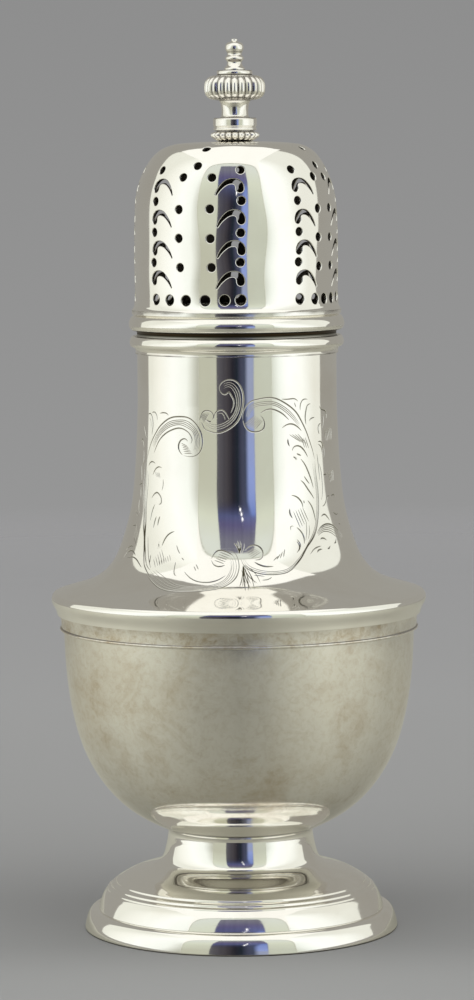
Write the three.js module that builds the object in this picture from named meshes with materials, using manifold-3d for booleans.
// A silver sugar caster: a footed vase body with a pull-off pierced cover and a turned finial.
// Millimetres, +Z up. The origin is the middle of the foot, on the surface that it stands on.
// Azimuth is measured round +Z from the front (-Y) towards +X.

import * as THREE from 'three';
import * as BufferGeometryUtils from 'three/addons/utils/BufferGeometryUtils.js';
import Module from 'manifold-3d';

// Sheet, joints and fits
const sheetWall = 0.7;
const solderGap = 0.1;
const bezelClearance = 0.15;
const studClearance = 0.15;
const cutOverrun = 1;

// Foot: an applied rim wire and a raised shell that narrows to a spool
const footRimRadius = 36.3;
const footRimHeight = 4.7;
const footRimWidth = 3.9;
const footRimTopRound = 1.3;
const footShellInset = 3;
const footRise = 19;
const stemRadius = 16.65;
const seamFlare = 1.35;

// Bowl and the moulded band that hides its upper edge
const bowlRadius = 40.4;
const bowlRise = 49.7;
const girdleHeight = 3.6;
const girdleProjection = 0.95;
const girdleBeadProjection = 0.22;
const girdleBeadHeight = 0.6;

// Upper body: rolled lip, shoulder, neck
const lipProjection = 2.8;
const lipRise = 4.9;
const lipRound = 0.6;
const neckRadius = 22.9;
const flareRise = 44.1;
const neckRise = 15.6;

// Rim wire round the neck
const neckWireDrop = 0.6;
const neckWireHeight = 4.1;
const neckWireProjection = 1.7;
const neckFilletHeight = 1.5;
const neckFilletProjection = 0.85;

// Rim wire round the cover
const coverWireRise = 5.3;
const coverWireProjection = 1.85;
const coverWireLift = 0.6;
const coverWireNeck = 1.3;
const coverFilletHeight = 1.2;
const seatChamfer = 0.1;

// Pierced dome
const domeOverhang = 0.45;
const domeRise = 38.3;
const domeFlareProjection = 0.7;
const domeFlareRise = 2.2;

// Bezel inside the cover
const bezelWall = 0.6;
const bezelDepth = 7;
const bezelHold = 4.8;

// Finial, from the dome upwards, threaded on a stud
const rosetteHeight = 2.3;
const rosetteRadius = 5.6;
const rosetteSeatRadius = 3.3;
const rosetteLobes = 20;
const collarHeight = 3.1;
const collarRadius = 5;
const collarGrooveDepth = 0.8;
const waistHeight = 4;
const waistRadius = 3.15;
const melonHeight = 5.7;
const melonRadius = 7;
const melonLobes = 24;
const lobeDepth = 0.55;
const capHeight = 1.1;
const capRadius = 4.1;
const spindleHeight = 4.2;
const spindleRadius = 2.3;
const spindleNeckRadius = 1.65;
const tipHeight = 3;
const tipRadius = 2.1;
const nippleRadius = 0.7;
const tipBoreDepth = 1.4;

// Stud, washer and nut under the dome
const studRadius = 1;
const studEndGap = 0.2;
const studTail = 1;
const washerRadius = 4.5;
const washerHeight = 0.8;
const nutRadius = 2.8;
const nutHeight = 2.2;

// Piercing: four panels, in degrees from each panel's middle and millimetres up the dome
const panelAzimuths = [-25.2, 63.6, 154.2, 244.5];
const holeRadius = 0.95;
const baseHoleRadius = 1.2;
const scrollColumn = 25.6;
const holeColumn = 9.2;
const baseHoleColumns = [5.6, 15.8, 26.2];
const rowPitch = 7.05;
const rowCount = 4;
const baseRowHeight = 2.8;
const firstScrollHeight = 5.95;
const holeRowLead = 3.15;
const scrollGapLead = 4.6;
const crownHoleShares = [0.857, 0.72];
const crownHoleAzimuth = 2;

// One pierced scroll: its middle line from head to tail and its half width along that line
const scrollWidth = 5.6;
const scrollHeight = 2.4;
const scrollHalfWidth = 0.72;
const scrollLineShares = [[0, 0.1], [0.04, 0.72], [0.32, 0.95], [0.72, 0.5], [1, -0.4]];
const scrollWidthShares = [0.8, 1, 0.66, 0.44, 0.15];

// Smoothness
const bodySegments = 32;
const wireSegments = 32;
const finialSegments = 16;
const facetsPerLobe = 2;
const circlePoints = 3;
const nutBorePoints = 6;
const bandSteps = 3;
const footSteps = 14;
const bowlSteps = 8;
const flareSteps = 12;
const beadSteps = 4;
const wireSteps = 6;
const domeFlareSteps = 2;
const rosetteSteps = 5;
const waistSteps = 3;
const melonSteps = 8;
const spindleSteps = 10;

// Radii that follow from their neighbours
const footShellRadius = footRimRadius - footShellInset;
const seamRadius = stemRadius + seamFlare;
const lipRadius = bowlRadius + lipProjection;
const neckBore = neckRadius - sheetWall;
const domeRadius = neckRadius + domeOverhang;
const studBore = studRadius + studClearance;

// Heights of the seams, each stacked on the one below
const seamHeight = footRimHeight + footRise;
const bowlTop = seamHeight + bowlRise;
const lipTop = bowlTop + lipRise;
const neckBase = lipTop + flareRise;
const seatHeight = neckBase + neckRise;
const domeBase = seatHeight + coverWireRise;
const domeTop = domeBase + domeRise;
const collarBase = domeTop + rosetteHeight;
const waistBase = collarBase + collarHeight;
const melonBase = waistBase + waistHeight;
const capBase = melonBase + melonHeight;
const spindleBase = capBase + capHeight;
const tipBase = spindleBase + spindleHeight;
const domeUnderside = domeTop - sheetWall;
const nutTop = domeUnderside - washerHeight;
const nutBase = nutTop - nutHeight;

// Outlines, as shares of the sizes they follow: [radius share, height share] from bottom to top
const footBandShares = [[1, 0.06], [0.6, 0.3]];
const footShares = [
  [1, 0], [0.958, 0.084], [0.907, 0.184], [0.87, 0.235], [0.754, 0.316], [0.586, 0.416], [0.4, 0.472],
  [0.213, 0.526], [0.125, 0.573], [0.084, 0.618], [0.055, 0.69], [0.03, 0.78], [0, 0.9],
];
const seamFlareShares = [[0.35, -0.55], [1, 0]];
const bowlShares = [
  [0, 0], [0.161, 0.036], [0.34, 0.0865], [0.612, 0.211], [0.8035, 0.364], [0.919, 0.541], [0.982, 0.742],
];
const girdleBandShares = [[0.66, 0.2], [0.78, 0.75], [1, 1]];
const lipShares = [
  [-1.1, 0], [-0.83, 0.163], [-0.17, 0.347], [0.67, 0.53], [1, 0.673], [0.95, 0.796], [0.58, 0.918],
];
const lipInsideShares = [[-1.83, 0.61], [-2.67, 0.2]];
const flareShares = [
  [1, 0], [0.92, 0.006], [0.843, 0.015], [0.655, 0.036], [0.482, 0.077], [0.305, 0.161], [0.198, 0.267],
  [0.127, 0.371], [0.076, 0.479], [0.045, 0.601], [0.023, 0.739], [0.008, 0.882], [0, 1],
];
const domeFlareShares = [[1, 0], [0.2, 0.5], [0, 1]];
const domeShares = [[1, 0.53], [0.974, 0.71], [0.9, 0.83], [0.785, 0.937], [0.665, 0.98], [0.26, 1]];
const rosetteShares = [[0, 0], [0.66, 0.3], [1, 0.62], [0.416, 1]];
const collarShares = [[0, 0], [0, 0.06], [1, 0.08], [1, 0.26], [0.75, 0.3], [1, 0.36], [1, 0.94], [0.75, 1]];
const waistTopShare = 1.16;
const waistShares = [[1.1, 0], [0.97, 0.2], [1, 0.65], [waistTopShare, 1]];
const melonShares = [[0, 0], [0.62, 0.06], [0.93, 0.26], [1, 0.5], [0.93, 0.76], [0.66, 0.94], [0, 1]];
const spindleShares = [[1, 0], [1, 0.12], [0, 0.4], [0.69, 0.62], [0, 0.86], [0.25, 1]];
const tipShares = [[0.796, 0], [1, 0.38], [0.7, 0.66], [0, 0.8], [0, 0.93]];

const wasm = await Module();
wasm.setup();

const silver = () => new THREE.MeshStandardMaterial({ color: 0xd6d2c8, roughness: 0.12, metalness: 1 });
const steel = () => new THREE.MeshStandardMaterial({ color: 0x9a9a98, roughness: 0.35, metalness: 1 });

const group = new THREE.Group();

function addPiece(name, geometry, material = silver()) {
  const mesh = new THREE.Mesh(geometry, material);
  mesh.name = name;
  group.add(mesh);
}

// Turns shares into [radius, height] points between two radii and over a rise.
function between(shares, innerRadius, outerRadius, base, rise) {
  return shares.map(([radiusShare, riseShare]) => [
    innerRadius + radiusShare * (outerRadius - innerRadius),
    base + riseShare * rise,
  ]);
}

// A smooth curve through the points, given back as points.
function smooth(points, steps) {
  const curve = new THREE.SplineCurve(points.map(([radius, height]) => new THREE.Vector2(radius, height)));
  return curve.getPoints(steps).map(({ x, y }) => [x, y]);
}

// A rounded moulding: an elliptical arc that bulges outwards from one height to another.
function bulge(radius, projection, low, high, steps) {
  const points = [];
  for (let step = 0; step <= steps; step += 1) {
    const turn = Math.PI * (step / steps - 1 / 2);
    const middle = (low + high) / 2;
    points.push([radius + projection * Math.cos(turn), middle + (high - low) / 2 * Math.sin(turn)]);
  }
  return points;
}

// The inner face of a sheet whose outer face runs upwards along the given points. An upright end
// is cut parallel to the axis, and any other end is cut level.
function innerFace(outer, wall, uprightStart, uprightEnd) {
  const normals = [];
  for (let i = 0; i + 1 < outer.length; i += 1) {
    const along = new THREE.Vector2(outer[i + 1][0] - outer[i][0], outer[i + 1][1] - outer[i][1]).normalize();
    normals.push(new THREE.Vector2(-along.y, along.x));
  }
  return outer.map(([radius, height], i) => {
    const isStart = i === 0;
    const isEnd = i === outer.length - 1;
    const before = normals[Math.max(i - 1, 0)];
    const after = normals[Math.min(i, normals.length - 1)];
    if (isStart || isEnd) {
      const normal = isStart ? after : before;
      const upright = isStart ? uprightStart : uprightEnd;
      return upright ? [radius, height + wall / normal.y] : [radius + wall / normal.x, height];
    }
    const mean = before.clone().add(after).normalize();
    const reach = wall / mean.dot(after);
    return [radius + mean.x * reach, height + mean.y * reach];
  });
}

// A body of revolution. The profile runs up the outside; a ring's profile closes on itself.
function spin(profile, segments, isRing) {
  const outline = isRing ? [...profile, profile[0]] : profile;
  const points = outline.map(([radius, height]) => new THREE.Vector2(radius, height));
  return new THREE.LatheGeometry(points, segments).rotateX(Math.PI / 2);
}

// Presses gadroon lobes into a spun piece: full depth at the outer radius, none at the inner one.
function gadroon(geometry, lobes, depth, innerRadius, outerRadius) {
  const position = geometry.getAttribute('position');
  for (let i = 0; i < position.count; i += 1) {
    const x = position.getX(i);
    const y = position.getY(i);
    const radius = Math.hypot(x, y);
    const reach = Math.max(0, (radius - innerRadius) / (outerRadius - innerRadius));
    const furrow = 1 - Math.abs(Math.cos(Math.atan2(y, x) * lobes / 2));
    const shrink = radius > 0 ? 1 - depth * reach * furrow / radius : 1;
    position.setXY(i, x * shrink, y * shrink);
  }
  return geometry;
}

function toSolid(geometry) {
  const bare = geometry.clone();
  bare.deleteAttribute('normal');
  bare.deleteAttribute('uv');
  const merged = BufferGeometryUtils.mergeVertices(bare);
  const vertProperties = Float32Array.from(merged.getAttribute('position').array);
  const corners = merged.getIndex().array;
  const triangles = [];
  for (let i = 0; i < corners.length; i += 3) {
    const [a, b, c] = [corners[i], corners[i + 1], corners[i + 2]];
    if (a !== b && b !== c && c !== a) triangles.push(a, b, c);
  }
  const triVerts = Uint32Array.from(triangles);
  return new wasm.Manifold(new wasm.Mesh({ numProp: 3, vertProperties, triVerts }));
}

function toGeometry(solid) {
  const mesh = solid.getMesh();
  const geometry = new THREE.BufferGeometry();
  geometry.setAttribute('position', new THREE.BufferAttribute(mesh.vertProperties, mesh.numProp));
  geometry.setIndex(new THREE.BufferAttribute(mesh.triVerts, 1));
  geometry.computeVertexNormals();
  return geometry;
}

function footRimWire() {
  const inner = footRimRadius - footRimWidth;
  const top = footRimHeight - footRimTopRound;
  const upper = footRimRadius - footRimTopRound / 2;
  const round = new THREE.EllipseCurve(
    upper - footRimTopRound, top, footRimTopRound, footRimTopRound, 0, Math.PI / 2,
  );
  const side = between(footBandShares, footRimRadius - footRimTopRound, footRimRadius, 0, footRimHeight);
  const band = smooth([...side, [upper, top]], bandSteps);
  const shoulder = round.getPoints(bandSteps).slice(1).map(({ x, y }) => [x, y]);
  return spin([
    [inner, 0], [footRimRadius, 0], ...band, ...shoulder, [inner, footRimHeight],
  ], wireSegments, true);
}

function foot() {
  const spool = between(footShares, stemRadius, footShellRadius, footRimHeight, footRise);
  spool.push(...between(seamFlareShares, stemRadius, seamRadius, seamHeight, seamFlare));
  const outer = smooth(spool, footSteps);
  return spin([...outer, ...innerFace(outer, sheetWall, false, false).reverse()], bodySegments, true);
}

function bowl() {
  const side = between(bowlShares, seamRadius, bowlRadius, seamHeight, bowlRise);
  const rimStart = [bowlRadius, bowlTop - girdleHeight];
  const outer = [[0, seamHeight], ...smooth([...side, rimStart], bowlSteps), [bowlRadius, bowlTop]];
  return spin([...outer, ...innerFace(outer, sheetWall, true, false).reverse()], bodySegments, false);
}

function girdleWire() {
  const inner = bowlRadius + solderGap;
  const low = bowlTop - girdleHeight;
  const crown = bowlRadius + girdleProjection;
  const beadTop = low + girdleBeadHeight;
  const bead = bulge(crown - girdleBeadProjection, girdleBeadProjection, low, beadTop, beadSteps);
  const band = between(girdleBandShares, bowlRadius, crown, low, girdleHeight);
  return spin([[inner, low], ...bead, ...band, [inner, bowlTop]], wireSegments, true);
}

// The sheet's outer face from the top of the rolled lip to the top of the neck.
function shoulderLine() {
  const flare = between(flareShares, neckRadius, lipRadius - lipRound, lipTop, flareRise);
  return [...smooth(flare, flareSteps), [neckRadius, seatHeight]];
}

function upperBody() {
  const outer = shoulderLine();
  const inner = innerFace(outer, sheetWall, false, false).slice(1).reverse();
  const lipFoot = bowlRadius - sheetWall;
  const lip = between(lipShares, lipRadius - lipRound, lipRadius, bowlTop, lipRise);
  const rolled = between(lipInsideShares, lipRadius - lipRound, lipRadius, bowlTop, lipRise);
  return spin([
    [lipFoot, bowlTop], ...lip, ...outer, ...inner, ...rolled, [lipFoot, bowlTop + sheetWall],
  ], bodySegments, true);
}

function neckRimWire() {
  const inner = neckRadius + solderGap;
  const top = seatHeight - neckWireDrop;
  const low = top - neckWireHeight;
  const filletTop = low + neckFilletHeight;
  const filletRadius = neckRadius + neckFilletProjection;
  const torus = bulge(filletRadius, neckWireProjection - neckFilletProjection, filletTop, top, wireSteps);
  return spin([
    [inner, low], [neckRadius + neckFilletProjection / 2, low], ...torus, [inner, top],
  ], wireSegments, true);
}

function coverRimWire() {
  const inner = neckBore - bezelClearance + solderGap;
  const lip = seatHeight + coverWireLift;
  const torusTop = domeBase - coverFilletHeight;
  const torusFoot = neckRadius + coverWireProjection - coverWireNeck;
  const filletRadius = domeRadius + domeFlareProjection;
  return spin([
    [inner, seatHeight], [neckRadius, seatHeight], [neckRadius + seatChamfer, lip],
    ...bulge(torusFoot, coverWireNeck, lip, torusTop, wireSteps),
    [filletRadius, torusTop + coverFilletHeight / 4], [filletRadius, domeBase], [inner, domeBase],
  ], wireSegments, true);
}

// The dome's outer face, from its flared foot to the stud's bore at the crown.
function domeLine() {
  const flareRadius = domeRadius + domeFlareProjection;
  const edge = between(domeFlareShares, domeRadius, flareRadius, domeBase, domeFlareRise);
  const flare = smooth(edge, domeFlareSteps);
  const crown = between(domeShares, 0, domeRadius, domeBase, domeRise);
  return [...flare, ...crown, [studBore, domeTop]];
}

// The point and the outward normal where the outer face reaches a height.
function faceAtHeight(line, height) {
  const i = line.findIndex((point, k) => k > 0 && point[1] >= height);
  return faceBetween(line[i - 1], line[i], (height - line[i - 1][1]) / (line[i][1] - line[i - 1][1]));
}

// The same where the crown comes in to a radius.
function faceAtRadius(line, radius) {
  const i = line.findIndex((point, k) => k > 0 && point[1] > (domeBase + domeTop) / 2 && point[0] <= radius);
  return faceBetween(line[i - 1], line[i], (line[i - 1][0] - radius) / (line[i - 1][0] - line[i][0]));
}

function faceBetween(start, end, share) {
  const along = new THREE.Vector2(end[0] - start[0], end[1] - start[1]);
  const point = new THREE.Vector2(start[0] + along.x * share, start[1] + along.y * share);
  return { point, normal: new THREE.Vector2(along.y, -along.x).normalize() };
}

// Sets a flat outline square to the dome at an azimuth and makes it a cutter through the wall.
function cutter(shape, face, azimuthDegrees) {
  const azimuth = THREE.MathUtils.degToRad(azimuthDegrees);
  const outward = new THREE.Vector3(Math.sin(azimuth), -Math.cos(azimuth), 0);
  const normal = outward.clone().multiplyScalar(face.normal.x).setZ(face.normal.y);
  const across = new THREE.Vector3(Math.cos(azimuth), Math.sin(azimuth), 0);
  const up = new THREE.Vector3().crossVectors(normal, across);
  const start = outward.clone().multiplyScalar(face.point.x).setZ(face.point.y);
  start.addScaledVector(normal, -sheetWall - cutOverrun);
  const depth = sheetWall + cutOverrun * 2;
  const options = { depth, bevelEnabled: false, curveSegments: circlePoints };
  const geometry = new THREE.ExtrudeGeometry(shape, options);
  return toSolid(geometry.applyMatrix4(new THREE.Matrix4().makeBasis(across, up, normal).setPosition(start)));
}

function circle(radius) {
  return new THREE.Shape().absarc(0, 0, radius, 0, Math.PI * 2);
}

// A tapering hook: round at the head, arched over the top and thin at the tail. The side is 1
// when the tail runs towards growing azimuth and -1 when it runs the other way.
function scroll(side) {
  const line = scrollLineShares.map(([x, y]) => new THREE.Vector2(side * x * scrollWidth, y * scrollHeight));
  const left = [];
  const right = [];
  line.forEach((point, i) => {
    const ahead = line[Math.min(i + 1, line.length - 1)];
    const behind = line[Math.max(i - 1, 0)];
    const along = ahead.clone().sub(behind).normalize();
    const offset = new THREE.Vector2(-along.y, along.x).multiplyScalar(scrollHalfWidth * scrollWidthShares[i]);
    left.push(point.clone().add(offset));
    right.push(point.clone().sub(offset));
  });
  return new THREE.Shape([...right, ...left.reverse()]);
}

function panelCutters(line, middle) {
  const cutters = [];
  for (const side of [-1, 1]) {
    for (const column of baseHoleColumns) {
      const baseFace = faceAtHeight(line, domeBase + baseRowHeight);
      cutters.push(cutter(circle(baseHoleRadius), baseFace, middle + side * column));
    }
    for (let row = 0; row < rowCount; row += 1) {
      const height = domeBase + firstScrollHeight + row * rowPitch;
      const scrollFace = faceAtHeight(line, height);
      const holeFace = faceAtHeight(line, height + holeRowLead);
      const gapFace = faceAtHeight(line, height + scrollGapLead);
      cutters.push(cutter(scroll(-side), scrollFace, middle + side * scrollColumn));
      cutters.push(cutter(circle(holeRadius), holeFace, middle + side * holeColumn));
      cutters.push(cutter(circle(holeRadius), gapFace, middle + side * scrollColumn));
    }
  }
  for (const share of crownHoleShares) {
    cutters.push(cutter(circle(holeRadius), faceAtRadius(line, domeRadius * share), middle + crownHoleAzimuth));
  }
  return cutters;
}

function piercedDome() {
  const line = domeLine();
  const shell = spin([...line, ...innerFace(line, sheetWall, false, true).reverse()], bodySegments, true);
  const cutters = panelAzimuths.flatMap((middle) => panelCutters(line, middle));
  return toGeometry(toSolid(shell).subtract(wasm.Manifold.union(cutters)));
}

function coverBezel() {
  const outer = neckBore - bezelClearance;
  const low = seatHeight - bezelDepth;
  const high = seatHeight + bezelHold;
  return spin([
    [outer - bezelWall, low], [outer, low], [outer, high], [outer - bezelWall, high],
  ], bodySegments, true);
}

// A finial piece bored for the stud: its outside runs upwards from base to top.
function bored(outside, base, height) {
  return [[studBore, base], ...outside, [studBore, base + height]];
}

function finialRosette() {
  const outline = between(rosetteShares, rosetteSeatRadius, rosetteRadius, domeTop, rosetteHeight);
  const outside = smooth(outline, rosetteSteps);
  const spun = spin(bored(outside, domeTop, rosetteHeight), rosetteLobes * facetsPerLobe, true);
  return gadroon(spun, rosetteLobes, lobeDepth, rosetteSeatRadius, rosetteRadius);
}

function finialCollar() {
  const groove = collarRadius - collarGrooveDepth;
  const outside = between(collarShares, groove, collarRadius, collarBase, collarHeight);
  return spin(bored(outside, collarBase, collarHeight), finialSegments, true);
}

function finialWaist() {
  const outside = smooth(between(waistShares, 0, waistRadius, waistBase, waistHeight), waistSteps);
  return spin(bored(outside, waistBase, waistHeight), finialSegments, true);
}

function finialMelon() {
  const neck = waistRadius * waistTopShare;
  const outside = smooth(between(melonShares, neck, melonRadius, melonBase, melonHeight), melonSteps);
  const spun = spin(bored(outside, melonBase, melonHeight), melonLobes * facetsPerLobe, true);
  return gadroon(spun, melonLobes, lobeDepth, neck, melonRadius);
}

function finialCap() {
  const round = capHeight / 4;
  const outside = bulge(capRadius - round, round, capBase, spindleBase, beadSteps);
  return spin(bored(outside, capBase, capHeight), finialSegments, true);
}

function finialSpindle() {
  const outline = between(spindleShares, spindleNeckRadius, spindleRadius, spindleBase, spindleHeight);
  const outside = smooth(outline, spindleSteps);
  return spin(bored(outside, spindleBase, spindleHeight), finialSegments, true);
}

function finialTip() {
  const outline = between(tipShares, nippleRadius, tipRadius, tipBase, tipHeight);
  const outside = smooth([...outline, [0, tipBase + tipHeight]], spindleSteps);
  const boreTop = tipBase + tipBoreDepth;
  return spin([[0, boreTop], [studBore, boreTop], [studBore, tipBase], ...outside], finialSegments, false);
}

function finialStud() {
  const top = tipBase + tipBoreDepth - studEndGap;
  const low = nutBase - studTail;
  return spin([[0, low], [studRadius, low], [studRadius, top], [0, top]], finialSegments, false);
}

function finialWasher() {
  return spin([
    [studBore, nutTop], [washerRadius, nutTop], [washerRadius, domeUnderside], [studBore, domeUnderside],
  ], finialSegments, true);
}

function finialNut() {
  const shape = new THREE.Shape();
  for (let corner = 0; corner < 6; corner += 1) {
    const turn = Math.PI * corner / 3;
    const [x, y] = [nutRadius * Math.cos(turn), nutRadius * Math.sin(turn)];
    if (corner === 0) shape.moveTo(x, y);
    else shape.lineTo(x, y);
  }
  shape.closePath();
  shape.holes.push(new THREE.Path().absarc(0, 0, studBore, 0, Math.PI * 2, true));
  const options = { depth: nutHeight, bevelEnabled: false, curveSegments: nutBorePoints };
  return new THREE.ExtrudeGeometry(shape, options).translate(0, 0, nutBase);
}

addPiece('foot_rim_wire', footRimWire());
addPiece('foot', foot());
addPiece('bowl', bowl());
addPiece('girdle_wire', girdleWire());
addPiece('upper_body', upperBody());
addPiece('neck_rim_wire', neckRimWire());
addPiece('cover_rim_wire', coverRimWire());
addPiece('pierced_dome', piercedDome());
addPiece('cover_bezel', coverBezel());
addPiece('finial_rosette', finialRosette());
addPiece('finial_collar', finialCollar());
addPiece('finial_waist', finialWaist());
addPiece('finial_melon_knop', finialMelon());
addPiece('finial_cap', finialCap());
addPiece('finial_spindle', finialSpindle());
addPiece('finial_tip', finialTip());
addPiece('finial_stud', finialStud(), steel());
addPiece('finial_washer', finialWasher(), steel());
addPiece('finial_nut', finialNut(), steel());

export default group;
